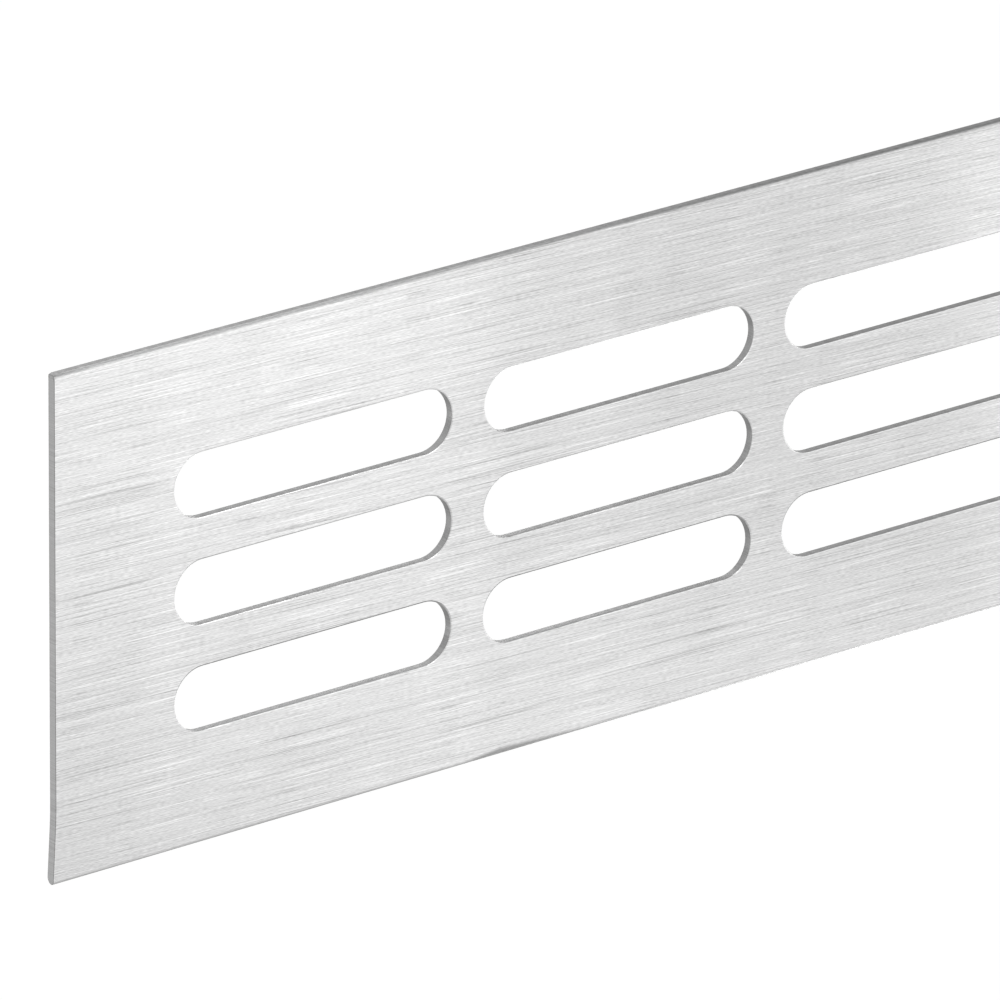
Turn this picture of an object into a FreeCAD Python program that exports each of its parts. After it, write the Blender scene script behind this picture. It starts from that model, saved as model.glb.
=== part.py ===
# Ventilation grille: one flat aluminium strip, punched with rows of round-ended air slots.
# The front face looks along -Y, the back face lies in Y = 0 and the length runs along X.
# The origin is the middle of the back face, and Z runs up across the width.
import FreeCAD, Part
import math
import os
import Sketcher

NODE = "grille_plate"
SOLID_FOLDER = "parts"

# Driving dimensions in millimetres, and one angle in degrees
SIZES = [
    ("plate_length", 500.0, "overall length of the strip"),
    ("plate_height", 80.0, "overall height across the strip"),
    ("sheet_thickness", 1.5, "wall of the strip"),
    ("lip_height", 13.0, "height of the lower lip that is set back"),
    ("lip_angle", 4.0, "angle by which the lower lip leans back"),
    ("bend_radius", 60.0, "radius at the back of the lip's gentle bend"),
    ("front_edge_radius", 0.2, "rounding of the long edges at the front"),
    ("back_edge_radius", 0.3, "rounding of the long edges at the back"),
    ("slot_length", 51.7, "length of an air slot over its round ends"),
    ("slot_height", 10.2, "height of an air slot"),
    ("post_width", 6.1, "metal left between the ends of two slots"),
    ("rail_height", 6.6, "metal left between two rows of slots"),
    ("least_end_land", 15.0, "least plain metal at the strip's cut ends"),
    ("least_edge_land", 16.0, "least plain metal along the long edges"),
    ("rim_bevel", 0.1, "small bevel that the punch leaves at the front of a slot"),
]

# A rounding or a bevel takes at most this share of the wall that it lies on
FRONT_ROUNDING_SHARE = 0.4
BACK_ROUNDING_SHARE = 0.25
RIM_BEVEL_SHARE = 0.3

# The punch's cut is this many walls deep, half of it on each side of the back face
PUNCH_DEPTHS = 4

# How close a coordinate must be to count as lying on a face
NEAR = 1e-4


def fill_sheet(doc):
    """Put every driving dimension into one sheet, each under its own alias."""
    sheet = doc.addObject("Spreadsheet::Sheet", "sizes")
    for row, (alias, value, meaning) in enumerate(SIZES, start=1):
        sheet.set(f"A{row}", meaning)
        sheet.set(f"B{row}", str(value))
        sheet.setAlias(f"B{row}", alias)
    doc.recompute()
    return sheet


def origin_item(body, role):
    """Return the body's own origin plane or axis with this role."""
    return next(item for item in body.Origin.OriginFeatures if item.Role == role)


def new_sketch(body, name, role):
    """Start a sketch on one of the body's origin planes."""
    sketch = body.newObject("Sketcher::SketchObject", name)
    sketch.AttachmentSupport = [(origin_item(body, role), "")]
    sketch.MapMode = "FlatFace"
    return sketch


def bind(sketch, name, constraint, expression):
    """Add a sized constraint, name it and tie it to the sheet."""
    index = sketch.addConstraint(constraint)
    sketch.renameConstraint(index, name)
    sketch.setExpression(f"Constraints.{name}", expression)


def draw_wall_section(body, sheet):
    """Draw the strip's wall as seen from its end: a flat wall and a lip that leans back.

    Both bends turn about one centre behind the back face, so the wall keeps its
    thickness round the bend.
    """
    thickness = float(sheet.sheet_thickness)
    top = float(sheet.plate_height) / 2
    bottom = -top
    bend_top = bottom + float(sheet.lip_height)
    back_radius = float(sheet.bend_radius)
    front_radius = back_radius + thickness
    lean = math.radians(float(sheet.lip_angle))
    centre = FreeCAD.Vector(back_radius, bend_top, 0)

    def on_bend(radius):
        return centre + FreeCAD.Vector(-radius * math.cos(lean), -radius * math.sin(lean), 0)

    front_bend_end = on_bend(front_radius)
    back_bend_end = on_bend(back_radius)
    run = (front_bend_end.y - bottom) / math.cos(lean)
    down_the_lip = FreeCAD.Vector(run * math.sin(lean), -run * math.cos(lean), 0)
    front_top = FreeCAD.Vector(-thickness, top, 0)
    back_top = FreeCAD.Vector(0, top, 0)
    front_bend_start = FreeCAD.Vector(-thickness, bend_top, 0)
    back_bend_start = FreeCAD.Vector(0, bend_top, 0)
    front_foot = front_bend_end + down_the_lip
    back_foot = back_bend_end + down_the_lip

    def bend_arc(radius):
        circle = Part.Circle(centre, FreeCAD.Vector(0, 0, 1), radius)
        return Part.ArcOfCircle(circle, math.pi, math.pi + lean)

    sketch = new_sketch(body, "wall_section", "YZ_Plane")
    front_wall = sketch.addGeometry(Part.LineSegment(front_top, front_bend_start))
    front_bend = sketch.addGeometry(bend_arc(front_radius))
    front_lip = sketch.addGeometry(Part.LineSegment(front_bend_end, front_foot))
    foot = sketch.addGeometry(Part.LineSegment(front_foot, back_foot))
    back_lip = sketch.addGeometry(Part.LineSegment(back_foot, back_bend_end))
    back_bend = sketch.addGeometry(bend_arc(back_radius))
    back_wall = sketch.addGeometry(Part.LineSegment(back_bend_start, back_top))
    top_edge = sketch.addGeometry(Part.LineSegment(back_top, front_top))

    # Point numbers of a sketch curve: 1 its start, 2 its end, 3 its centre
    sketch.addConstraint([
        Sketcher.Constraint("Tangent", front_wall, 2, front_bend, 1),
        Sketcher.Constraint("Tangent", front_bend, 2, front_lip, 1),
        Sketcher.Constraint("Coincident", front_lip, 2, foot, 1),
        Sketcher.Constraint("Coincident", foot, 2, back_lip, 1),
        Sketcher.Constraint("Tangent", back_lip, 2, back_bend, 2),
        Sketcher.Constraint("Tangent", back_bend, 1, back_wall, 1),
        Sketcher.Constraint("Coincident", back_wall, 2, top_edge, 1),
        Sketcher.Constraint("Coincident", top_edge, 2, front_wall, 1),
        Sketcher.Constraint("Coincident", front_bend, 3, back_bend, 3),
        Sketcher.Constraint("Vertical", front_wall),
        Sketcher.Constraint("Vertical", back_wall),
        Sketcher.Constraint("Horizontal", top_edge),
        Sketcher.Constraint("Parallel", front_lip, back_lip),
        Sketcher.Constraint("Perpendicular", foot, front_lip),
        Sketcher.Constraint("PointOnObject", back_wall, 2, -2),
    ])
    bind(sketch, "wall", Sketcher.Constraint("DistanceX", top_edge, 2, top_edge, 1, thickness),
         "sizes.sheet_thickness")
    bind(sketch, "half_height", Sketcher.Constraint("DistanceY", -1, 1, back_wall, 2, top),
         "sizes.plate_height / 2")
    bind(sketch, "height", Sketcher.Constraint("DistanceY", front_lip, 2, front_wall, 1, 2 * top),
         "sizes.plate_height")
    bind(sketch, "lip", Sketcher.Constraint("DistanceY", front_lip, 2, front_wall, 2, bend_top - bottom),
         "sizes.lip_height")
    bind(sketch, "bend", Sketcher.Constraint("Radius", back_bend, back_radius), "sizes.bend_radius")
    bind(sketch, "lean", Sketcher.Constraint("Angle", back_bend, lean), "sizes.lip_angle * 1 deg")
    return sketch


def pad_strip(body, section):
    """Run the wall's section along the length, evenly to both sides of the middle."""
    pad = body.newObject("PartDesign::Pad", "plain_strip")
    pad.Profile = section
    pad.SideType = "Symmetric"
    pad.setExpression("Length", "sizes.plate_length")
    return pad


def long_edges(shape, length, reach, nearest):
    """Name one lengthwise edge at the top and one at the foot of the strip.

    Of the edges within reach of the strip's upper or lower limit, nearest picks by their
    depth: min takes the front one and max the back one.
    """
    names = []
    for limit in (shape.BoundBox.ZMax, shape.BoundBox.ZMin):
        found = []
        for number, edge in enumerate(shape.Edges, start=1):
            middle = edge.CenterOfMass
            if abs(edge.Length - length) < NEAR and abs(middle.z - limit) < reach:
                found.append((middle.y, f"Edge{number}"))
        names.append(nearest(found)[1])
    return names


def round_edges(body, name, base, edges, expression):
    """Round the named edges of a feature."""
    fillet = body.newObject("PartDesign::Fillet", name)
    fillet.Base = (base, edges)
    fillet.setExpression("Radius", expression)
    return fillet


def draw_first_slot(body, sheet, columns, rows):
    """Draw the slot at the lower left: two straight sides and two half rounds."""
    pitch_x = "(sizes.slot_length + sizes.post_width)"
    pitch_z = "(sizes.slot_height + sizes.rail_height)"
    radius = float(sheet.slot_height) / 2
    half_run = float(sheet.slot_length) / 2 - radius
    middle_x = -(columns - 1) / 2 * (float(sheet.slot_length) + float(sheet.post_width))
    middle_z = -(rows - 1) / 2 * (float(sheet.slot_height) + float(sheet.rail_height))
    left = FreeCAD.Vector(middle_x - half_run, middle_z, 0)
    right = FreeCAD.Vector(middle_x + half_run, middle_z, 0)
    up = FreeCAD.Vector(0, radius, 0)
    normal = FreeCAD.Vector(0, 0, 1)
    quarter = math.pi / 2

    sketch = new_sketch(body, "first_slot", "XZ_Plane")
    right_end = sketch.addGeometry(Part.ArcOfCircle(Part.Circle(right, normal, radius), -quarter, quarter))
    top_side = sketch.addGeometry(Part.LineSegment(right + up, left + up))
    left_end = sketch.addGeometry(Part.ArcOfCircle(Part.Circle(left, normal, radius), quarter, 3 * quarter))
    low_side = sketch.addGeometry(Part.LineSegment(left - up, right - up))
    sketch.addConstraint([
        Sketcher.Constraint("Tangent", right_end, 2, top_side, 1),
        Sketcher.Constraint("Tangent", top_side, 2, left_end, 1),
        Sketcher.Constraint("Tangent", left_end, 2, low_side, 1),
        Sketcher.Constraint("Tangent", low_side, 2, right_end, 1),
        Sketcher.Constraint("Horizontal", top_side),
    ])
    bind(sketch, "end_radius", Sketcher.Constraint("Radius", left_end, radius), "sizes.slot_height / 2")
    bind(sketch, "straight_run",
         Sketcher.Constraint("DistanceX", left_end, 3, right_end, 3, 2 * half_run),
         "sizes.slot_length - sizes.slot_height")
    bind(sketch, "place_x", Sketcher.Constraint("DistanceX", left_end, 3, -1, 1, -left.x),
         f"{columns - 1} / 2 * {pitch_x} + (sizes.slot_length - sizes.slot_height) / 2")
    bind(sketch, "place_z", Sketcher.Constraint("DistanceY", left_end, 3, -1, 1, -left.y),
         f"{rows - 1} / 2 * {pitch_z}")
    return sketch


def punch_slots(body, slot, columns, rows):
    """Punch the first slot through the wall and repeat it along the length and up the width."""
    cut = body.newObject("PartDesign::Pocket", "first_slot_cut")
    cut.Profile = slot
    cut.SideType = "Symmetric"
    cut.setExpression("Length", f"{PUNCH_DEPTHS} * sizes.sheet_thickness")
    grid = body.newObject("PartDesign::LinearPattern", "slot_grid")
    grid.Originals = [cut]
    grid.Direction = (origin_item(body, "X_Axis"), [""])
    grid.setExpression("Length", f"{columns - 1} * (sizes.slot_length + sizes.post_width)")
    grid.Occurrences = columns
    grid.Direction2 = (origin_item(body, "Z_Axis"), [""])
    grid.setExpression("Length2", f"{rows - 1} * (sizes.slot_height + sizes.rail_height)")
    grid.Occurrences2 = rows
    body.Tip = grid
    return grid


def slot_rims(shape, front_y, half_length):
    """Name the edges on the front face that keep clear of the strip's ends: the slots' rims."""
    names = []
    for number, edge in enumerate(shape.Edges, start=1):
        box = edge.BoundBox
        on_front = abs(box.YMin - front_y) < NEAR and abs(box.YMax - front_y) < NEAR
        clear_of_ends = box.XMin > NEAR - half_length and box.XMax < half_length - NEAR
        if on_front and clear_of_ends:
            names.append(f"Edge{number}")
    return names


def bevel_rims(body, grid, rims):
    """Bevel the slots' front edges."""
    bevel = body.newObject("PartDesign::Chamfer", "punched_rims")
    bevel.Base = (grid, rims)
    bevel.setExpression("Size", f"min(sizes.rim_bevel; {RIM_BEVEL_SHARE} * sizes.sheet_thickness)")
    body.Tip = bevel
    return bevel


def check(doc, body, expected_volume):
    """Stop if an object has failed, or if the strip isn't one whole solid of about the right volume."""
    for item in doc.Objects:
        if {"Invalid", "Error"} & set(item.State):
            raise RuntimeError(f"{item.Name} has failed: {item.State}")
    shape = body.Shape
    if shape.isNull() or not shape.isValid() or len(shape.Solids) != 1:
        raise RuntimeError("the strip isn't one valid solid")
    if abs(shape.Volume - expected_volume) > 0.01 * expected_volume:
        raise RuntimeError(f"volume {shape.Volume:.0f} is not near {expected_volume:.0f}")


def main():
    doc = FreeCAD.newDocument("ventilation_grille")
    sheet = fill_sheet(doc)
    length = float(sheet.plate_length)
    height = float(sheet.plate_height)
    thickness = float(sheet.sheet_thickness)
    slot_length = float(sheet.slot_length)
    slot_height = float(sheet.slot_height)

    # As many slots as fit between the plain lands
    room_x = length - 2 * float(sheet.least_end_land) - slot_length
    room_z = height - 2 * float(sheet.least_edge_land) - slot_height
    columns = math.floor(room_x / (slot_length + float(sheet.post_width))) + 1
    rows = math.floor(room_z / (slot_height + float(sheet.rail_height))) + 1

    body = doc.addObject("PartDesign::Body", NODE)
    body.Label = NODE
    strip = pad_strip(body, draw_wall_section(body, sheet))
    doc.recompute()

    front = round_edges(body, "front_long_edges", strip, long_edges(strip.Shape, length, thickness, min),
                        f"min(sizes.front_edge_radius; {FRONT_ROUNDING_SHARE} * sizes.sheet_thickness)")
    doc.recompute()
    back = round_edges(body, "back_long_edges", front, long_edges(front.Shape, length, thickness, max),
                       f"min(sizes.back_edge_radius; {BACK_ROUNDING_SHARE} * sizes.sheet_thickness)")
    doc.recompute()
    plain_volume = back.Shape.Volume

    grid = punch_slots(body, draw_first_slot(body, sheet, columns, rows), columns, rows)
    doc.recompute()
    bevel_rims(body, grid, slot_rims(grid.Shape, -thickness, length / 2))
    doc.recompute()

    slot_area = (slot_length - slot_height) * slot_height + math.pi * slot_height ** 2 / 4
    check(doc, body, plain_volume - columns * rows * slot_area * thickness)

    os.makedirs(SOLID_FOLDER, exist_ok=True)
    body.Shape.exportStep(os.path.join(SOLID_FOLDER, NODE + ".step"))
    box = body.Shape.BoundBox
    print(f"{NODE}: {box.XLength:.2f} x {box.YLength:.2f} x {box.ZLength:.2f} mm,"
          f" {columns} x {rows} slots, volume {body.Shape.Volume / 1000:.2f} cm3")


main()
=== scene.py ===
"""A punched and brushed aluminium ventilation grille, dressed for a plain studio.

The grille is one plate. Its visible mesh is worked out here as whole arrays: every slot lies in a
cell of its own, and a cell's front, rim, cut wall and back are one surface of two parameters. The
long edges and the lower lip are a section carried along the length, and the cut ends close it.
The plate's own lengths are millimetres, turned into metres when its mesh is made. The lamps, the
floor and the camera are in metres.
"""
import logging
import math
from dataclasses import dataclass, field
from enum import Enum

import bpy
import numpy as np
from mathutils import Matrix, Vector


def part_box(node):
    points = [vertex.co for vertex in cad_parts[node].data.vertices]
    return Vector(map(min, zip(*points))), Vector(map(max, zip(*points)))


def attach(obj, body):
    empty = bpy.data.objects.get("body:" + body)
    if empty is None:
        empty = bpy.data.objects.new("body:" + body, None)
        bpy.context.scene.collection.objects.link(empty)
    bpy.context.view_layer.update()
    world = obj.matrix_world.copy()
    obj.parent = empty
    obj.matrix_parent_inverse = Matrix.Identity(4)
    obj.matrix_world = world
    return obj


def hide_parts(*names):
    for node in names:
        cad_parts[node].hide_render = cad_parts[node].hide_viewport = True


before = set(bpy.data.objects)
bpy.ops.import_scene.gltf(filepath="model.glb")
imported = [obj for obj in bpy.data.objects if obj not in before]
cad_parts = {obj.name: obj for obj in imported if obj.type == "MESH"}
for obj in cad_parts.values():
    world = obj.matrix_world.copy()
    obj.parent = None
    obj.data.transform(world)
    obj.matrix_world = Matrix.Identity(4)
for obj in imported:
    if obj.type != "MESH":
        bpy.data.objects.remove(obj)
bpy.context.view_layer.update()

LOG = logging.getLogger("ventilation_grille")
METRES_PER_MM = 0.001
PLATE_NODE = "grille_plate"
ALUMINIUM_SLOT = "brushed_aluminium"
# Face value that darkens the metal: sheared, sawn and punched faces, and painted dark reflection on the
# slots' upper rims and at the foot
CUT_AND_REFLECTION_ATTRIBUTE = "cut_metal_and_dark_reflection"
ALONG_UV = "along_the_plate"
# How far a point's depth moves its place in the UV map, so that the cut faces get an area there too
DEPTH_IN_UV = (0.3, 0.5)
# Points that agree to so many decimals of a millimetre are one point
WELD_DECIMALS = 5
BORDER_DECIMALS = 6
SHORTEST_STEP = 1e-9
SHARP_ANGLE = math.radians(40.0)
MARK_NOISE_ROUGHNESS = 0.6
MARK_NOISE_MIDDLE = 0.5
WHITE = (1.0, 1.0, 1.0, 1.0)


class PlateEnd(Enum):
    """The two cut ends of the plate, by the side of the middle on which each lies."""

    LEFT = -1
    RIGHT = 1


@dataclass
class Surface:
    """A grid of points and what its faces are.

    Attributes:
        points: Array of rows by columns by 3, in millimetres.
        cut: For each row of faces, 1 where the punch or the saw made it and 0 where it is brushed.
        It may also give a value for each face of the row. On the slots' upper rims and at the foot,
        part of the value is a painted dark reflection.
        closed: True where the last column joins the first.
        turned: True where the faces are listed the other way round, to point outwards.
    """

    points: np.ndarray
    cut: np.ndarray
    closed: bool = False
    turned: bool = False

    def faces(self) -> np.ndarray:
        """Return the grid's quads as rows of 4 point numbers.

        Returns:
            Array of quads by 4. Seen from outside, the corners of each run anticlockwise.
        """
        rows, columns = self.points.shape[:2]
        number = np.arange(rows * columns).reshape(rows, columns)
        if self.closed:
            number = np.concatenate([number, number[:, :1]], axis=1)
        quads = np.stack([number[:-1, :-1], number[:-1, 1:], number[1:, 1:], number[1:, :-1]], axis=-1)
        quads = quads.reshape(-1, 4)
        return quads[:, ::-1] if self.turned else quads

    def face_cut(self) -> np.ndarray:
        """Return the cut value of every quad, in the order of faces()."""
        columns = self.points.shape[1] if self.closed else self.points.shape[1] - 1
        return np.broadcast_to(self.cut.reshape(len(self.cut), -1), (len(self.cut), columns)).ravel()


@dataclass
class WallSection:
    """The plate's wall seen from its end: a flat wall, and a lower lip that leans back.

    The front line and the back line have the same number of points, from the top edge down to
    the foot, so that the cut end closes between them and each line can be carried along X.

    Attributes:
        front_y: Y of the front face.
        back_y: Y of the back face.
        top_z: Z of the top edge.
        foot_z: Z of the lip's front corner before it is rolled, its lowest point.
        lip_height: Height of the part that leans back.
        lip_angle: How far it leans, in radians.
        bend_radius: Radius of the bend on the back, where it is tightest.
        front_roll: Height and depth of the rolled front corner at the top edge.
        foot_roll: Height and depth of the rolled front corner at the foot.
        back_round: Height and depth of the rounded back corner at the top edge.
        foot_back_round: Height and depth of the rounded back corner at the foot.
        corner_steps: Faces round each corner.
        bend_steps: Faces round the bend.
        lip_steps: Faces down the lip.
        hold: Length of the narrow face beside each corner, which keeps the wall's shading flat.
    """

    front_y: float
    back_y: float
    top_z: float
    foot_z: float
    lip_height: float = 13.0
    lip_angle: float = math.radians(4.0)
    bend_radius: float = 60.0
    front_roll: tuple[float, float] = (0.95, 0.46)
    foot_roll: tuple[float, float] = (0.85, 0.45)
    back_round: tuple[float, float] = (0.31, 0.31)
    foot_back_round: tuple[float, float] = (1.10, 0.95)
    corner_steps: int = 8
    bend_steps: int = 8
    lip_steps: int = 3
    hold: float = 0.06

    @property
    def thickness(self) -> float:
        """Return the wall's thickness."""
        return self.back_y - self.front_y

    @property
    def bend_z(self) -> float:
        """Return the height at which the wall starts to lean back."""
        return self.foot_z + self.lip_height

    def edge_line(self, corner: np.ndarray, out: np.ndarray, along: np.ndarray, roll: tuple[float, float],
                  inset: float) -> np.ndarray:
        """Work out one rolled corner of the section, from the edge face to the wall.

        The corner is a quarter of an ellipse of height h along the wall and depth d into it:
        centre = corner - h * along - d * out, and a point at angle a is
        centre + (d - inset) * out * sin a + (h - inset) * along * cos a, with a from 0 to a right
        angle. One more point a little way down the wall keeps the wall's shading flat.

        Args:
            corner: The sharp corner, as (y, z).
            out: Unit vector out of the wall.
            along: Unit vector out of the edge face.
            roll: Height and depth of the rolled corner.
            inset: How far the whole line lies inside the section.

        Returns:
            Array of points by 2.
        """
        height, depth = roll
        centre = corner - height * along - depth * out
        angle = np.linspace(0.0, math.pi / 2, self.corner_steps + 1)[:, None]
        arc = centre + (depth - inset) * out * np.sin(angle) + (height - inset) * along * np.cos(angle)
        return np.concatenate([arc, arc[-1:] - self.hold * along])

    def lines(self, heights: np.ndarray, inset: float = 0.0) -> tuple[np.ndarray, np.ndarray]:
        """Work out the front line and the back line from the top edge down to the foot.

        Args:
            heights: Heights of the points on the flat wall, from the top down.
            inset: How far both lines lie inside the section.

        Returns:
            The front line and the back line, each an array of points by 2, as (y, z).
        """
        up = np.array([0.0, 1.0])
        back = np.array([1.0, 0.0])
        lean_down = np.array([math.sin(self.lip_angle), -math.cos(self.lip_angle)])
        lean_back = np.array([math.cos(self.lip_angle), math.sin(self.lip_angle)])
        pivot = np.array([self.back_y + self.bend_radius, self.bend_z])
        bend_end = pivot - (self.bend_radius + self.thickness) * lean_back
        run = (bend_end[1] - self.foot_z) / math.cos(self.lip_angle)
        front_foot = bend_end + run * lean_down

        made = []
        for is_front in (True, False):
            out = -back if is_front else back
            wall_y = self.front_y + inset if is_front else self.back_y - inset
            sharp_y = self.front_y if is_front else self.back_y
            top_roll = self.front_roll if is_front else self.back_round
            top = self.edge_line(np.array([sharp_y, self.top_z]), out, up, top_roll, inset)
            flat = np.stack([np.full(len(heights), wall_y), heights], axis=1)

            # The bend: pivot - reach * (cos b, sin b), with b from 0 to the lip's angle
            reach = self.bend_radius + (self.thickness - inset if is_front else inset)
            turn = np.linspace(0.0, self.lip_angle, self.bend_steps + 1)[1:, None]
            bend = pivot - reach * np.concatenate([np.cos(turn), np.sin(turn)], axis=1)

            lean_out = -lean_back if is_front else lean_back
            corner = front_foot if is_front else front_foot + self.thickness * lean_back
            foot_roll = self.foot_roll if is_front else self.foot_back_round
            foot = self.edge_line(corner, lean_out, lean_down, foot_roll, inset)[::-1]
            share = np.linspace(0.0, 1.0, self.lip_steps + 1)[1:-1, None]
            lip = bend[-1] + share * (foot[0] - bend[-1])
            made.append(np.concatenate([top, flat, bend, lip, foot]))
        return made[0], made[1]


@dataclass
class SlotField:
    """The punched slots: how many, how large, and the surface round each one.

    A slot's outline starts at the right end of its upper side and runs anticlockwise, seen from
    the front. Each outline point has an anchor on the slot's middle line and a direction, and
    lies at anchor + (half the slot's height + offset) * direction.

    Attributes:
        columns: Slots along the plate.
        rows: Slots down the plate.
        slot_length: Length of a slot, with its round ends.
        slot_height: Height of a slot.
        post_width: Metal between the ends of two slots.
        rail_height: Metal between two rows of slots.
        rim_radius: Radius of the front rim that the punch rolled over.
        rim_steps: Faces round the rim.
        burr_break: Size of the broken back rim.
        fracture_flare: How much wider the slot is on each side where the wall broke out.
        burnished_share: Share of the wall's thickness that the punch burnished.
        hold: Width of the narrow face beside each rim.
        corner_hold: Distance from a cell's corner to the border points beside it.
        side_steps: Faces along a slot's straight side.
        eighth_steps: Faces round each eighth of a circle at a slot's round ends.
        spread: Where the rows of points lie on a face, from the rim at 0 to the border at 1.
        rim_dark_reflection: For each row of slots, the cut value of a painted dark reflection on its upper
            rims.
    """

    columns: int = 8
    rows: int = 3
    slot_length: float = 51.7
    slot_height: float = 10.2
    post_width: float = 6.1
    rail_height: float = 6.6
    rim_radius: float = 0.18
    rim_steps: int = 5
    burr_break: float = 0.05
    fracture_flare: float = 0.04
    burnished_share: float = 0.45
    hold: float = 0.05
    corner_hold: float = 0.4
    side_steps: int = 12
    eighth_steps: int = 6
    spread: tuple[float, ...] = (0.0, 0.12, 0.35, 0.65, 1.0)
    # Painted dark reflection on the upper rims, darker in lower rows
    rim_dark_reflection: tuple[float, ...] = (0.2, 0.5, 0.9)

    @property
    def pitch_x(self) -> float:
        """Return the distance from one slot to the next along the plate."""
        return self.slot_length + self.post_width

    @property
    def pitch_z(self) -> float:
        """Return the distance from one row of slots to the next."""
        return self.slot_height + self.rail_height

    @property
    def half_run(self) -> float:
        """Return half the length of a slot's straight side."""
        return (self.slot_length - self.slot_height) / 2

    def centres(self) -> tuple[np.ndarray, np.ndarray]:
        """Return the slots' middles: X from left to right, and Z from the top row down."""
        across = (np.arange(self.columns) - (self.columns - 1) / 2) * self.pitch_x
        down = ((self.rows - 1) / 2 - np.arange(self.rows)) * self.pitch_z
        return across, down

    def outline(self) -> tuple[np.ndarray, np.ndarray]:
        """Work out the anchors and directions of one slot's outline.

        Returns:
            Two arrays of points by 2, as (x, z) from the slot's middle.
        """
        side = np.linspace(self.half_run, -self.half_run, self.side_steps + 1)[:-1]
        angle = np.linspace(0.0, math.pi, 4 * self.eighth_steps + 1)[:-1] + math.pi / 2
        level = np.zeros_like(side)
        upright = np.ones_like(side)
        still = np.zeros_like(angle)
        anchors_x = [side, still - self.half_run, -side, still + self.half_run]
        directions_x = [level, np.cos(angle), level, -np.cos(angle)]
        directions_z = [upright, np.sin(angle), -upright, -np.sin(angle)]
        anchors = np.concatenate(anchors_x)
        return (np.stack([anchors, np.zeros_like(anchors)], axis=1),
                np.stack([np.concatenate(directions_x), np.concatenate(directions_z)], axis=1))

    def cell_border(self, left: float, right: float, low: float, high: float) -> np.ndarray:
        """Work out the rectangle round a slot, point for point with the slot's outline.

        The points are evenly spaced between the rectangle's marks: the ends of the slot's straight
        sides, the height of its middle, the corners, and a place close to each corner that keeps
        the shading there crisp. Neighbouring cells share them.

        Args:
            left: X of the border's left side, from the slot's middle.
            right: X of its right side.
            low: Z of its lower side.
            high: Z of its upper side.

        Returns:
            Array of points by 2.
        """
        run, near = self.half_run, self.corner_hold
        upper = [(run, high), (-run, high), (left + near, high), (left, high), (left, high - near)]
        lower = [(left, low + near), (left, low), (left + near, low), (-run, low), (run, low)]
        rising = [(right - near, low), (right, low), (right, low + near), (right, 0.0), (right, high - near)]
        last = [(right, high), (right - near, high), (run, high)]
        corners = np.array(upper + [(left, 0.0)] + lower + rising + last)
        # Steps from each mark to the next, over the upper side and the left end, and then as many again
        wide = self.eighth_steps - 1
        half = [self.side_steps, wide, 1, 1, wide, wide, 1, 1, wide]
        marks = np.concatenate([[0], np.cumsum(half * 2)])
        index = np.arange(marks[-1])
        border_x = np.interp(index, marks, corners[:, 0])
        border_z = np.interp(index, marks, corners[:, 1])
        return np.stack([border_x, border_z], axis=1)

    def wall_profile(self, thickness: float) -> tuple[np.ndarray, np.ndarray, np.ndarray]:
        """Work out the punched wall from the front face to the back face.

        The punch rolls the front edge over: a quarter circle, offset = rim * (1 - sin a) and
        depth = rim * (1 - cos a). Below it the wall is burnished and straight, and then it breaks
        out with a slight flare. The back edge is only just broken.

        Args:
            thickness: Thickness of the wall.

        Returns:
            Offsets from the slot's outline, depths below the front face, and the cut value of the
            faces after each point but the last.
        """
        angle = np.linspace(0.0, math.pi / 2, self.rim_steps + 1)
        rim_offset = self.rim_radius * (1.0 - np.sin(angle))
        rim_depth = self.rim_radius * (1.0 - np.cos(angle))
        flare = self.fracture_flare
        back = flare + self.burr_break
        first = self.rim_radius + self.hold
        offsets = np.concatenate([[first], rim_offset, [0.0, flare, back, back + self.hold]])
        burnished = self.burnished_share * thickness
        below = [burnished, thickness - self.burr_break, thickness, thickness]
        depths = np.concatenate([[0.0], rim_depth, below])
        cut = np.ones(len(offsets) - 1)
        cut[:self.rim_steps] = 0.0
        cut[-1] = 0.0
        return offsets, depths, cut

    def cells(self, section: WallSection, half_length: float, high: float, low: float) -> list[Surface]:
        """Work out the surface of every cell: front, rim, punched wall and back in one grid.

        A row of the grid is a closed line round the slot. The rows run from the cell's border
        over the front to the rim, through the wall, and over the back to the border again. A row
        on a face is border * s + rim * (1 - s). Where the rim overhangs, on a slot's upper side, it
        and the narrow face beside it get a painted dark reflection: their cut value is the row's
        painted_dark_reflection * how far the slot's outline lies above its middle line there, from 0 to 1.

        Args:
            section: The plate's wall.
            half_length: Half the plate's length up to the broken edge of its cut ends.
            high: Height of the upper row's border.
            low: Height of the lower row's border.

        Returns:
            One closed surface for each slot.
        """
        offsets, depths, cut = self.wall_profile(section.thickness)
        anchors, directions = self.outline()
        reach = self.slot_height / 2 + offsets
        wall = anchors[None] + reach[:, None, None] * directions[None]
        share = np.array(self.spread)[1:, None, None]
        across, down = self.centres()
        left_edges = np.concatenate([[-half_length], (across[1:] + across[:-1]) / 2])
        right_edges = np.concatenate([left_edges[1:], [half_length]])
        high_edges = np.concatenate([[high], (down[1:] + down[:-1]) / 2])
        low_edges = np.concatenate([high_edges[1:], [low]])
        face_rows = len(self.spread) - 1
        depth = np.concatenate([np.zeros(face_rows), depths, np.full(face_rows, section.thickness)])
        flags = np.concatenate([np.zeros(face_rows), cut, np.zeros(face_rows)])
        near_rim = np.zeros(len(flags))
        near_rim[face_rows:face_rows + 1 + self.rim_steps] = 1.0
        overhang = np.clip(directions[:, 1], 0.0, 1.0)
        made = []
        for x, left, right in zip(across, left_edges, right_edges):
            for z, top, bottom, painted_dark_reflection in zip(down, high_edges, low_edges, self.rim_dark_reflection):
                border = self.cell_border(left - x, right - x, bottom - z, top - z)[None]
                front = (border * share + wall[:1] * (1 - share))[::-1]
                back = border * share + wall[-1:] * (1 - share)
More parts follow.
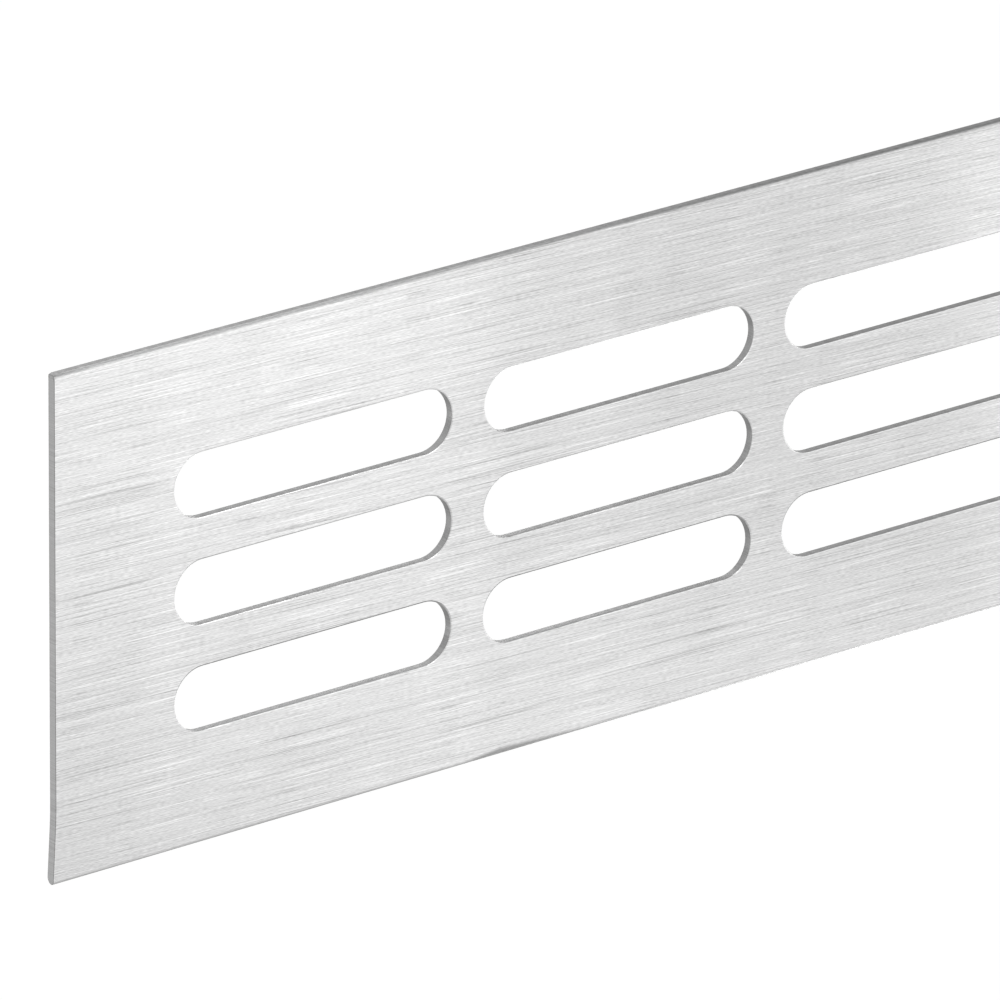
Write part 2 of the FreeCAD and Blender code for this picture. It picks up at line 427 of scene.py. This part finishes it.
                flat = np.concatenate([front, wall, back])
                points = np.empty((*flat.shape[:2], 3))
                points[..., 0] = flat[..., 0] + x
                points[..., 1] = section.front_y + depth[:, None]
                points[..., 2] = flat[..., 1] + z
                # Painted dark reflection: the upper rims get a cut value by row, darker in lower rows
                cut_and_painted_reflection = flags[:, None] + painted_dark_reflection * near_rim[:, None] * overhang
                made.append(Surface(points, np.clip(cut_and_painted_reflection, 0.0, 1.0), closed=True))
        return made

    def border_x(self, half_length: float) -> np.ndarray:
        """Work out the X of every border point along a row's upper side.

        Args:
            half_length: Half the plate's length up to the broken edge of its cut ends.

        Returns:
            The X values from left to right.
        """
        across, _ = self.centres()
        edges = np.concatenate([[-half_length], (across[1:] + across[:-1]) / 2, [half_length]])
        half_height = self.pitch_z / 2
        made = []
        for x, left, right in zip(across, edges[:-1], edges[1:]):
            border = self.cell_border(left - x, right - x, -half_height, half_height)
            made.append(x + border[border[:, 1] == border[:, 1].max(), 0])
        return np.unique(np.round(np.concatenate(made), BORDER_DECIMALS))

    def border_z(self, high: float, low: float) -> np.ndarray:
        """Work out the Z of every border point down a column's side.

        Args:
            high: Height of the upper row's border.
            low: Height of the lower row's border.

        Returns:
            The Z values from the top down.
        """
        _, down = self.centres()
        edges = np.concatenate([[high], (down[1:] + down[:-1]) / 2, [low]])
        half_width = self.pitch_x / 2
        made = []
        for z, top, bottom in zip(down, edges[:-1], edges[1:]):
            border = self.cell_border(-half_width, half_width, bottom - z, top - z)
            made.append(z + border[border[:, 0] == border[:, 0].min(), 1])
        return np.unique(np.round(np.concatenate(made), BORDER_DECIMALS))[::-1]


@dataclass
class GrillePlate:
    """The whole grille: one punched strip with rounded long edges and cut ends.

    Attributes:
        section: The wall's section.
        half_length: Half the plate's length.
        slots: The field of slots.
        end_break: Size of the broken edge round each cut end.
        top_margin: Distance from the top edge to the upper border of the slots' cells.
        shear_start: How level a strip of the section has to be to show any sheared metal.
        shear_full: How level it has to be to show nothing else.
        foot_cut_and_reflection_share: Share of the cut value kept at the foot: sheared metal on
        its lower edge face, and a painted dark reflection on its rolled front corner.
        corner_ease: Radius of the plate's upper corners, seen from the front.
        ease_reach: Height over which a corner's rounding fades out down the end.
    """

    section: WallSection
    half_length: float
    slots: SlotField = field(default_factory=SlotField)
    end_break: float = 0.06
    top_margin: float = 1.0
    shear_start: float = 0.15
    shear_full: float = 0.56
    foot_cut_and_reflection_share: float = 0.65
    corner_ease: float = 0.35
    ease_reach: float = 1.5

    @classmethod
    def from_frame(cls) -> "GrillePlate":
        """Take the plate's outer sizes from the CAD node's box.

        Returns:
            A plate of the node's length, height and front depth.
        """
        low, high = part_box(PLATE_NODE)
        section = WallSection(front_y=low.y / METRES_PER_MM, back_y=0.0,
                              top_z=high.z / METRES_PER_MM, foot_z=-high.z / METRES_PER_MM)
        return cls(section=section, half_length=high.x / METRES_PER_MM)

    def long_edges(self, front: np.ndarray, back: np.ndarray, heights: np.ndarray) -> list[Surface]:
        """Carry the top edge and the lower lip along the plate.

        A point of the surface is (x, y of the profile, z of the profile).

        Args:
            front: The section's front line.
            back: The section's back line.
            heights: Heights of the flat wall's points.

        Returns:
            The surface over the top edge and the surface round the lip.
        """
        first = int(np.argmin(np.abs(front[:, 1] - heights[0])))
        last = int(np.argmin(np.abs(front[:, 1] - heights[-1])))
        over_top = np.concatenate([front[first::-1], back[:first + 1]])
        round_lip = np.concatenate([back[last:], front[:last - 1:-1]])
        along = self.slots.border_x(self.half_length - self.end_break)
        made = []
        for profile in (over_top, round_lip):
            points = np.empty((len(profile), len(along), 3))
            points[..., 0] = along[None]
            points[..., 1:] = profile[:, None]
            made.append(Surface(points, self.sheared(profile)))
        return made

    def sheared(self, profile: np.ndarray) -> np.ndarray:
        """Work out how far each strip of a profile is sheared metal: the more it faces up or down.

        At the foot the strips keep only a share of it: its lower edge face is sheared metal, and on
        its rolled front corner the value is a painted dark reflection.

        Args:
            profile: Points of the profile, as (y, z).

        Returns:
            Cut value of each strip, from 0 on the wall to 1 on the upper edge face.
        """
        step = np.diff(profile, axis=0)
        level = np.abs(step[:, 0]) / np.maximum(np.hypot(step[:, 0], step[:, 1]), SHORTEST_STEP)
        value = np.clip((level - self.shear_start) / (self.shear_full - self.shear_start), 0.0, 1.0)
        # At the foot the share paints a dark reflection onto the rolled front corner
        return value * np.where(profile[1:, 1] > 0.0, 1.0, self.foot_cut_and_reflection_share)

    def cut_end(self, end: PlateEnd, heights: np.ndarray) -> list[Surface]:
        """Close one cut end: a narrow broken edge all round, and the flat face inside it.

        Args:
            end: Which end.
            heights: Heights of the flat wall's points.

        Returns:
            The broken edge and the end face.
        """
        outer = self.section.lines(heights)
        inner = self.section.lines(heights, self.end_break)
        rings = []
        for (front, back), inset in ((outer, self.end_break), (inner, 0.0)):
            loop = np.concatenate([front, back[::-1]])
            x = np.full((len(loop), 1), end.value * (self.half_length - inset))
            rings.append(np.concatenate([x, loop], axis=1))
        is_left = end is PlateEnd.LEFT
        face = np.empty((len(inner[0]), 2, 3))
        face[..., 0] = end.value * self.half_length
        face[:, 0, 1:] = inner[0]
        face[:, 1, 1:] = inner[1]
        return [Surface(np.stack(rings), np.ones(1), closed=True, turned=is_left),
                Surface(face, np.ones(len(face) - 1), turned=not is_left)]

    def surfaces(self) -> list[Surface]:
        """Work out every surface of the plate.

        Returns:
            The slots' cells, the long edges and the two cut ends. Their borders share points.
        """
        high = self.section.top_z - self.top_margin
        low = self.section.bend_z
        heights = self.slots.border_z(high, low)
        front, back = self.section.lines(heights)
        made = self.slots.cells(self.section, self.half_length - self.end_break, high, low)
        made += self.long_edges(front, back, heights)
        for end in PlateEnd:
            made += self.cut_end(end, heights)
        return made

    def eased(self, points: np.ndarray) -> np.ndarray:
        """Round the plate's upper corners, as they are seen from the front.

        A point near an end, at the distance d from it, sinks by r - sqrt(r * r - (r - d) * (r - d)),
        times a share that falls from 1 at the top edge to 0 a little way down.

        Args:
            points: Array of points by 3.

        Returns:
            The moved points.
        """
        ease = self.corner_ease
        inward = np.clip(ease - (self.half_length - np.abs(points[:, 0])), 0.0, ease)
        sink = ease - np.sqrt(ease * ease - inward * inward)
        share = np.clip((points[:, 2] - self.section.top_z) / self.ease_reach + 1.0, 0.0, 1.0)
        moved = points.copy()
        moved[:, 2] -= sink * share
        return moved

    def build(self) -> bpy.types.Object:
        """Join the surfaces into one closed mesh.

        Returns:
            The plate's object, with its cut faces and its painted dark reflection marked, and a UV map
            that runs along the plate.
        """
        surfaces = self.surfaces()
        counts = np.cumsum([0] + [s.points.shape[0] * s.points.shape[1] for s in surfaces])
        points = self.eased(np.concatenate([s.points.reshape(-1, 3) for s in surfaces]))
        quads = np.concatenate([s.faces() + start for s, start in zip(surfaces, counts)])
        cut = np.concatenate([s.face_cut() for s in surfaces])
        rounded = np.round(points, WELD_DECIMALS)
        _, keep, number = np.unique(rounded, axis=0, return_index=True, return_inverse=True)
        return new_mesh_object(PLATE_NODE + "_skin", points[keep], number.reshape(-1)[quads], cut)


def new_mesh_object(name: str, points: np.ndarray, quads: np.ndarray, cut: np.ndarray) -> bpy.types.Object:
    """Put points and quads into a new mesh object.

    Args:
        name: Name of the object and its mesh.
        points: Array of points by 3, in millimetres.
        quads: Array of quads by 4 point numbers.
        cut: Cut value of every quad.

    Returns:
        The object, in the scene's collection, at the origin.
    """
    mesh = bpy.data.meshes.new(name)
    mesh.vertices.add(len(points))
    mesh.vertices.foreach_set("co", (points * METRES_PER_MM).astype(np.float32).ravel())
    mesh.loops.add(quads.size)
    mesh.loops.foreach_set("vertex_index", quads.astype(np.int32).ravel())
    mesh.polygons.add(len(quads))
    mesh.polygons.foreach_set("loop_start", np.arange(0, quads.size, 4, dtype=np.int32))
    mesh.polygons.foreach_set("use_smooth", np.ones(len(quads), bool))
    mesh.update(calc_edges=True)
    mesh.attributes.new(CUT_AND_REFLECTION_ATTRIBUTE, "FLOAT", "FACE").data.foreach_set("value", cut.astype(np.float32))
    corners = points[quads.ravel()] * METRES_PER_MM
    uv = corners[:, [0, 2]] + corners[:, 1:2] * np.array(DEPTH_IN_UV)
    mesh.uv_layers.new(name=ALONG_UV).data.foreach_set("uv", uv.astype(np.float32).ravel())
    mesh.set_sharp_from_angle(angle=SHARP_ANGLE)
    mesh.validate()
    made = bpy.data.objects.new(name, mesh)
    bpy.context.scene.collection.objects.link(made)
    return made


class Shading:
    """A node tree with short calls to add nodes and join their sockets."""

    def __init__(self, tree: bpy.types.NodeTree) -> None:
        """Keep the tree and clear it."""
        self.tree = tree
        tree.nodes.clear()

    def add(self, kind: str, inputs: dict | None = None, **settings: object) -> bpy.types.Node:
        """Add a node.

        Args:
            kind: Node type without its ShaderNode prefix.
            inputs: Socket name or number to a value, or to an output socket to join.
            settings: Properties of the node.

        Returns:
            The new node.
        """
        node = self.tree.nodes.new("ShaderNode" + kind)
        for name, value in settings.items():
            setattr(node, name, value)
        for name, value in (inputs or {}).items():
            if isinstance(value, bpy.types.NodeSocket):
                self.tree.links.new(value, node.inputs[name])
            else:
                node.inputs[name].default_value = value
        return node

    def math(self, operation: str, first: object, second: object = 0.0,
             third: object = 0.0) -> bpy.types.NodeSocket:
        """Add a Math node and return its output."""
        return self.add("Math", {0: first, 1: second, 2: third}, operation=operation).outputs[0]

    def mix(self, share: object, low: object, high: object) -> bpy.types.NodeSocket:
        """Mix two values and return the result."""
        return self.add("Mix", {0: share, 2: low, 3: high}, data_type="FLOAT").outputs[0]

    def spread(self, value: object, from_low: float, from_high: float, to_low: float,
               to_high: float) -> bpy.types.NodeSocket:
        """Map a range of values to another, held at its ends, and return the result."""
        inputs = {"Value": value, "From Min": from_low, "From Max": from_high,
                  "To Min": to_low, "To Max": to_high}
        return self.add("MapRange", inputs, clamp=True).outputs["Result"]


@dataclass(frozen=True)
class Grain:
    """One layer of brush marks.

    Attributes:
        weight: How much the layer lightens or darkens the metal, as a share of its tone.
        length: Length of a mark, in millimetres.
        width: Width of a mark, in millimetres.
        lean: Tilt of this layer's marks beyond the tilt of all the marks, in degrees.
        detail: Octaves of finer marks within them.
        seed: Shifts the layer, so that no two are alike.
        threshold: Where given, only marks above this value are drawn, as single scratches.
        fade: How far above the threshold a scratch is at its full strength.
    """

    weight: float
    length: float
    width: float
    lean: float = 0.0
    detail: float = 1.0
    seed: float = 0.0
    threshold: float | None = None
    fade: float = 0.1

    def place(self, shading: Shading, group: bpy.types.NodeTree, tilt: float) -> bpy.types.NodeSocket:
        """Put this layer into a material.

        Args:
            shading: The material's tree.
            group: The brush marks group.
            tilt: Tilt of all the brush marks, in degrees.

        Returns:
            The layer's value: 0 on average, or from 0 to 1 for scratches.
        """
        inputs = {"Length": self.length * METRES_PER_MM, "Width": self.width * METRES_PER_MM,
                  "Tilt": math.radians(tilt + self.lean), "Detail": self.detail, "Seed": self.seed}
        node = shading.add("Group", node_tree=group)
        for name, value in inputs.items():
            node.inputs[name].default_value = value
        marks = node.outputs["Marks"]
        if self.threshold is None:
            return shading.math("SUBTRACT", marks, MARK_NOISE_MIDDLE)
        return shading.spread(marks, self.threshold, self.threshold + self.fade, 0.0, 1.0)


@dataclass(frozen=True)
class FootDarkReflection:
    """A painted dark reflection along the foot, darkened like cut metal: tallest near its left end, then
    fading.

    Its lengths are metres, because it is drawn in the material.

    Attributes:
        start: X where it starts.
        peak: X where it is tallest.
        end: X where it has faded out.
        height: Its greatest height above the foot.
        foot: Z of the foot.
        softness: Height over which its upper edge fades.
        strength: Its greatest cut value.
    """

    start: float = -0.1765
    peak: float = -0.1665
    end: float = -0.1390
    height: float = 0.0011
    foot: float = -0.03997
    softness: float = 0.00055
    strength: float = 0.70

    def place(self, shading: Shading) -> bpy.types.NodeSocket:
        """Put the mark into a material.

        Its height rises from 0 at the start to the peak and falls to 0 at the end, and its value
        is full where that height is well above the point's own height over the foot.

        Args:
            shading: The material's tree.

        Returns:
            The painted dark reflection's value, on the cut value's scale.
        """
        place = shading.add("SeparateXYZ", {0: shading.add("TexCoord").outputs["Object"]}).outputs
        rising = shading.spread(place["X"], self.start, self.peak, 0.0, self.height)
        falling = shading.spread(place["X"], self.peak, self.end, self.height, 0.0)
        reach = shading.math("MINIMUM", rising, falling)
        above = shading.math("SUBTRACT", place["Z"], self.foot)
        inside = shading.math("SUBTRACT", reach, above)
        return shading.spread(inside, -self.softness / 2, self.softness / 2, 0.0, self.strength)


def brush_marks_group() -> bpy.types.NodeTree:
    """Build the group that draws long thin marks along X, used once for each layer of brush marks.

    Object coordinates are turned by the tilt about Y and divided by the marks' length and width,
    and noise is read there, so that one mark is as long and as wide as the inputs say.

    Returns:
        A node group with the inputs Length, Width, Tilt, Detail and Seed, and the output Marks.
    """
    group = bpy.data.node_groups.new("brush_marks", "ShaderNodeTree")
    for name, default in (("Length", 0.01), ("Width", 0.0002), ("Tilt", 0.0), ("Detail", 3.0), ("Seed", 0.0)):
        socket = group.interface.new_socket(name, in_out="INPUT", socket_type="NodeSocketFloat")
        socket.default_value = default
    group.interface.new_socket("Marks", in_out="OUTPUT", socket_type="NodeSocketFloat")
    shading = Shading(group)
    given = group.nodes.new("NodeGroupInput")
    result = group.nodes.new("NodeGroupOutput")
    place = shading.add("TexCoord").outputs["Object"]
    turn = shading.add("CombineXYZ", {"Y": given.outputs["Tilt"]}).outputs[0]
    lengths = {"X": given.outputs["Length"], "Y": 1.0, "Z": given.outputs["Width"]}
    size = shading.add("CombineXYZ", lengths).outputs[0]
    shift = shading.add("CombineXYZ", {"Y": given.outputs["Seed"]}).outputs[0]
    scaled = shading.add("Mapping", {"Vector": place, "Location": shift, "Rotation": turn, "Scale": size},
                         vector_type="TEXTURE").outputs[0]
    noise = shading.add("TexNoise", {"Vector": scaled, "Scale": 1.0, "Detail": given.outputs["Detail"],
                                     "Roughness": MARK_NOISE_ROUGHNESS}, noise_dimensions="3D")
    group.links.new(noise.outputs[0], result.inputs["Marks"])
    return group


@dataclass(frozen=True)
class BrushedAluminium:
    """Natural aluminium, brushed along its length, with darker matt metal where it was cut, and that
    dark tone also painted as dark reflection on the slots' upper rims and along the foot.

    Attributes:
        brushed_tone: Tone of the brushed metal.
        cut_tone: Tone of the cut metal.
        brushed_roughness: Roughness of the brushed metal.
        cut_roughness: Roughness of the cut metal.
        anisotropy: How far the brushing stretches reflections across the marks.
        stretch_turn: Turn of that stretch from the tangent, as a share of a whole turn.
        tilt: Tilt of the brush marks on the plate, in degrees.
        painted_dark_reflection: The painted dark reflection along the foot.
        mark_depth: Depth of the brush marks, in millimetres.
        mark_strength: Strength of their relief.
        rough_grain: How much the first layer changes the brushed metal's roughness.
        cut_grain: How much one layer changes the cut metal's tone.
        cut_grain_layer: Number of that layer, from 0.
        layers: The layers of brush marks.
    """

    brushed_tone: float = 0.635
    cut_tone: float = 0.21
    brushed_roughness: float = 0.30
    cut_roughness: float = 0.5
    anisotropy: float = 0.75
    stretch_turn: float = 0.25
    tilt: float = 1.9
    # Painted dark reflection along the foot
    painted_dark_reflection: FootDarkReflection = FootDarkReflection()
    mark_depth: float = 0.02
    mark_strength: float = 0.4
    rough_grain: float = 0.12
    cut_grain: float = 0.1
    cut_grain_layer: int = 3
    layers: tuple[Grain, ...] = (
        Grain(weight=0.24, length=75.0, width=0.16, lean=-0.8),
        Grain(weight=0.28, length=13.0, width=0.145, lean=0.6, detail=0.0, seed=3.0),
        Grain(weight=0.12, length=100.0, width=1.2, lean=-1.0, seed=7.0),
        Grain(weight=0.46, length=0.9, width=0.115, detail=0.0, seed=23.0),
        Grain(weight=-0.25, length=37.0, width=0.145, lean=-0.6, detail=0.0, seed=11.0, threshold=0.62),
        Grain(weight=0.22, length=27.0, width=0.145, lean=-0.9, detail=0.0, seed=17.0, threshold=0.63),
        Grain(weight=-0.24, length=10.0, width=0.13, lean=0.8, detail=0.0, seed=31.0, threshold=0.66),
        Grain(weight=0.20, length=8.0, width=0.13, lean=0.4, detail=0.0, seed=37.0, threshold=0.66),
    )

    def make(self, marks: bpy.types.NodeTree) -> bpy.types.Material:
        """Build the material.

        The grain is 1 + the sum of weight * value over the layers. The brushed metal's tone is
        brushed tone * grain, and the cut value mixes tone, roughness and stretch with the cut metal's.
        The cut value also holds painted dark reflection on the slots' upper rims and at the foot.

        Args:
            marks: The brush marks group.

        Returns:
            The finished material.
        """
        material = bpy.data.materials.new(ALUMINIUM_SLOT)
        material.use_nodes = True
        shading = Shading(material.node_tree)
        # The cut value, with the painted dark reflection on the upper rims and the foot in it, darkens the
        # metal
        punched = shading.add("Attribute", attribute_name=CUT_AND_REFLECTION_ATTRIBUTE).outputs["Fac"]
        cut = shading.math("MAXIMUM", punched, self.painted_dark_reflection.place(shading))
        values = [layer.place(shading, marks, self.tilt) for layer in self.layers]
        grain = 1.0
        for layer, value in zip(self.layers, values):
            grain = shading.math("MULTIPLY_ADD", value, layer.weight, grain)
        face_tone = shading.math("MULTIPLY", grain, self.brushed_tone)
        cut_tone = shading.math("MULTIPLY_ADD", values[self.cut_grain_layer], self.cut_grain, self.cut_tone)
        tone = shading.mix(cut, face_tone, cut_tone)
        colour = shading.add("CombineColor", {0: tone, 1: tone, 2: tone}).outputs[0]

        face_rough = shading.math("MULTIPLY_ADD", values[0], self.rough_grain, self.brushed_roughness)
        rough = shading.mix(cut, face_rough, self.cut_roughness)
        pull = shading.mix(cut, self.anisotropy, 0.0)
        bump = shading.add("Bump", {"Height": grain, "Strength": self.mark_strength,
                                    "Distance": self.mark_depth * METRES_PER_MM}).outputs[0]
        tangent = shading.add("Tangent", direction_type="UV_MAP", uv_map=ALONG_UV).outputs[0]
        surface = shading.add("BsdfPrincipled", {"Base Color": colour, "Metallic": 1.0, "Roughness": rough,
                                                 "Anisotropic": pull,
                                                 "Anisotropic Rotation": self.stretch_turn,
                                                 "Normal": bump, "Tangent": tangent})
        shading.add("OutputMaterial", {"Surface": surface.outputs[0]})
        return material


@dataclass
class SoftBox:
    """One soft lamp.

    Attributes:
        name: Its name, by what it lights or where it stands.
        place: Where it stands, in metres.
        aim: The point that it looks at.
        width: Its width, in metres.
        height: Its height, in metres.
        power: Its power, in watts.
    """

    name: str
    place: tuple[float, float, float]
    aim: tuple[float, float, float]
    width: float
    height: float
    power: float

    def build(self) -> bpy.types.Object:
        """Make the lamp, hidden from the camera.

        Returns:
            The lamp's object.
        """
        light = bpy.data.lights.new(self.name, "AREA")
        light.shape = "RECTANGLE"
        light.size = self.width
        light.size_y = self.height
        light.energy = self.power
        lamp = bpy.data.objects.new(self.name, light)
        lamp.location = self.place
        lamp.rotation_euler = (Vector(self.aim) - Vector(self.place)).to_track_quat("-Z", "Y").to_euler()
        lamp.visible_camera = False
        bpy.context.scene.collection.objects.link(lamp)
        return lamp


@dataclass
class Studio:
    """A pale floor, a white surround and soft lamps.

    Attributes:
        floor_drop: How far the floor lies below the grille, in metres.
        floor_half: Half the floor's width, in metres.
        floor_tone: Tone of the floor for the light that it scatters onto the grille.
        shadow_share: Tone of the lit part of the floor as it is seen, which keeps the shadow.
        floor_glow: Strength of the glow that makes the floor white where it is seen.
        ambient: Strength of the surround where it lights.
        lamps: The soft lamps.
    """

    floor_drop: float = 0.32
    floor_half: float = 12.0
    floor_tone: float = 0.8
    shadow_share: float = 0.4
    floor_glow: float = 0.77
    ambient: float = 0.6
    lamps: tuple[SoftBox, ...] = (
        SoftBox("face_left", (-0.0549, -0.2541, -0.006), (-0.26, 0.0, 0.0), 0.12, 0.16, 0.038),
        SoftBox("face_low", (0.0751, -0.2541, -0.246), (-0.13, 0.0, 0.0), 0.12, 0.16, 0.0208),
        SoftBox("face_right", (0.1589, -0.1597, -0.0792), (0.03, 0.0, 0.0), 0.08, 0.16, 0.090),
        SoftBox("rims", (0.116, -0.273, 0.176), (-0.13, 0.0, 0.0), 0.14, 0.12, 0.072),
        SoftBox("behind_left", (-0.465, 0.188, -0.093), (-0.25, 0.0, 0.0), 0.22, 0.22, 0.295),
        SoftBox("behind_top", (-0.097, 0.276, 0.286), (-0.25, 0.0, 0.04), 0.22, 0.34, 0.273),
        SoftBox("above_left", (-0.176, -0.026, 0.142), (-0.25, 0.0, 0.04), 0.09, 0.13, 0.115),
        SoftBox("behind_upper_left", (-0.269, 0.145, 0.117), (-0.197, 0.0, 0.0), 0.12, 0.12, 0.07),
        SoftBox("behind_low", (-0.0245, 0.131, 0.012), (-0.13, 0.0, -0.02), 0.12, 0.02, 0.0108),
        SoftBox("behind_low_left", (-0.10, 0.131, 0.012), (-0.20, 0.0, -0.02), 0.10, 0.02, 0.0286),
        SoftBox("below_right", (0.008, 0.035, -0.165), (-0.09, 0.0, -0.03), 0.07, 0.07, 0.07),
    )

    def seen_directly(self, shading: Shading) -> bpy.types.NodeSocket:
        """Tell what is seen from what is lit.

        Args:
            shading: The tree of the world or of the floor.

        Returns:
            1 for rays from the camera and for reflections, and 0 for scattered light.
        """
        path = shading.add("LightPath").outputs
        seen = shading.math("MAXIMUM", path["Is Camera Ray"], path["Is Glossy Ray"])
        return shading.math("MAXIMUM", seen, path["Is Transmission Ray"])

    def build_world(self) -> None:
        """Make the surround: white where it is seen, and a plain level where it lights."""
        world = bpy.data.worlds.new("white_surround")
        world.use_nodes = True
        bpy.context.scene.world = world
        shading = Shading(world.node_tree)
        strength = shading.mix(self.seen_directly(shading), self.ambient, 1.0)
        surround = shading.add("Background", {"Color": WHITE, "Strength": strength})
        shading.add("OutputWorld", {"Surface": surround.outputs[0]})

    def build_floor(self, under: float) -> bpy.types.Object:
        """Make the pale floor below the grille.

        Args:
            under: Height of the grille's lowest point, in metres.

        Returns:
            The floor's object.
        """
        half = self.floor_half
        height = under - self.floor_drop
        mesh = bpy.data.meshes.new("floor")
        corners = [(x, y, height) for x, y in ((-half, -half), (half, -half), (half, half), (-half, half))]
        mesh.from_pydata(corners, [], [(0, 1, 2, 3)])
        floor = bpy.data.objects.new("floor", mesh)
        bpy.context.scene.collection.objects.link(floor)
        material = bpy.data.materials.new("pale_floor")
        material.use_nodes = True
        shading = Shading(material.node_tree)
        plain = shading.add("BsdfDiffuse", {"Color": (self.floor_tone,) * 3 + (1.0,)})
        shaded = shading.add("BsdfDiffuse", {"Color": (self.shadow_share,) * 3 + (1.0,)})
        glow = shading.add("Emission", {"Color": WHITE, "Strength": self.floor_glow})
        bright = shading.add("AddShader", {0: shaded.outputs[0], 1: glow.outputs[0]})
        seen = self.seen_directly(shading)
        both = shading.add("MixShader", {0: seen, 1: plain.outputs[0], 2: bright.outputs[0]})
        shading.add("OutputMaterial", {"Surface": both.outputs[0]})
        mesh.materials.append(material)
        return floor

    def build(self, under: float) -> None:
        """Make the surround, the floor and the lamps.

        Args:
            under: Height of the grille's lowest point, in metres.
        """
        self.build_world()
        self.build_floor(under)
        for lamp in self.lamps:
            lamp.build()
            LOG.info("lamp %s, %.3f W", lamp.name, lamp.power)


@dataclass(frozen=True)
class PhotoCamera:
    """The photograph's camera, found from the outlines of the slots and the plate's edges.

    Attributes:
        azimuth: Degrees round the grille, 0 looking along +Y.
        elevation: Degrees above the horizon.
        roll: Degrees that the picture is turned about the line of sight.
        distance: Metres from the camera to its target.
        target: The point at the picture's middle, in metres.
        lens: Focal length in millimetres.
        sensor: Width of the camera's sensor, in millimetres.
        near: Nearest distance that the camera sees, in metres.
        far: Farthest distance that it sees.
    """

    azimuth: float = -38.867
    elevation: float = 21.107
    roll: float = 0.451
    distance: float = 2.1675
    target: tuple[float, float, float] = (-0.16733, -0.0015, 0.00125)
    lens: float = 525.87
    sensor: float = 36.0
    near: float = 0.1
    far: float = 60.0

    def build(self) -> bpy.types.Object:
        """Make the camera and give it to the scene.

        Returns:
            The camera's object.
        """
        azimuth, elevation, roll = (math.radians(a) for a in (self.azimuth, self.elevation, self.roll))
        back = Vector((math.sin(azimuth) * math.cos(elevation), -math.cos(azimuth) * math.cos(elevation),
                       math.sin(elevation)))
        right = (-back).cross(Vector((0.0, 0.0, 1.0))).normalized()
        up = right.cross(-back)
        rolled_right = math.cos(roll) * right + math.sin(roll) * up
        rolled_up = math.cos(roll) * up - math.sin(roll) * right
        turn = Matrix((rolled_right, rolled_up, back)).transposed().to_4x4()
        data = bpy.data.cameras.new("photo_camera")
        data.lens = self.lens
        data.sensor_width = self.sensor
        data.clip_start = self.near
        data.clip_end = self.far
        camera = bpy.data.objects.new("photo_camera", data)
        camera.matrix_world = Matrix.Translation(Vector(self.target) + self.distance * back) @ turn
        bpy.context.scene.collection.objects.link(camera)
        bpy.context.scene.camera = camera
        return camera


def main() -> None:
    """Build the grille, its finish, the studio and the camera."""
    logging.basicConfig(level=logging.INFO, format="%(name)s: %(message)s")
    plate = GrillePlate.from_frame()
    skin = plate.build()
    skin.data.materials.append(BrushedAluminium().make(brush_marks_group()))
    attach(skin, "root")
    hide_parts(PLATE_NODE)
    LOG.info("%s: %d faces", skin.name, len(skin.data.polygons))
    Studio().build(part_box(PLATE_NODE)[0].z)
    PhotoCamera().build()
    bpy.context.scene.view_settings.view_transform = "Standard"


if __name__ == "__main__":
    main()
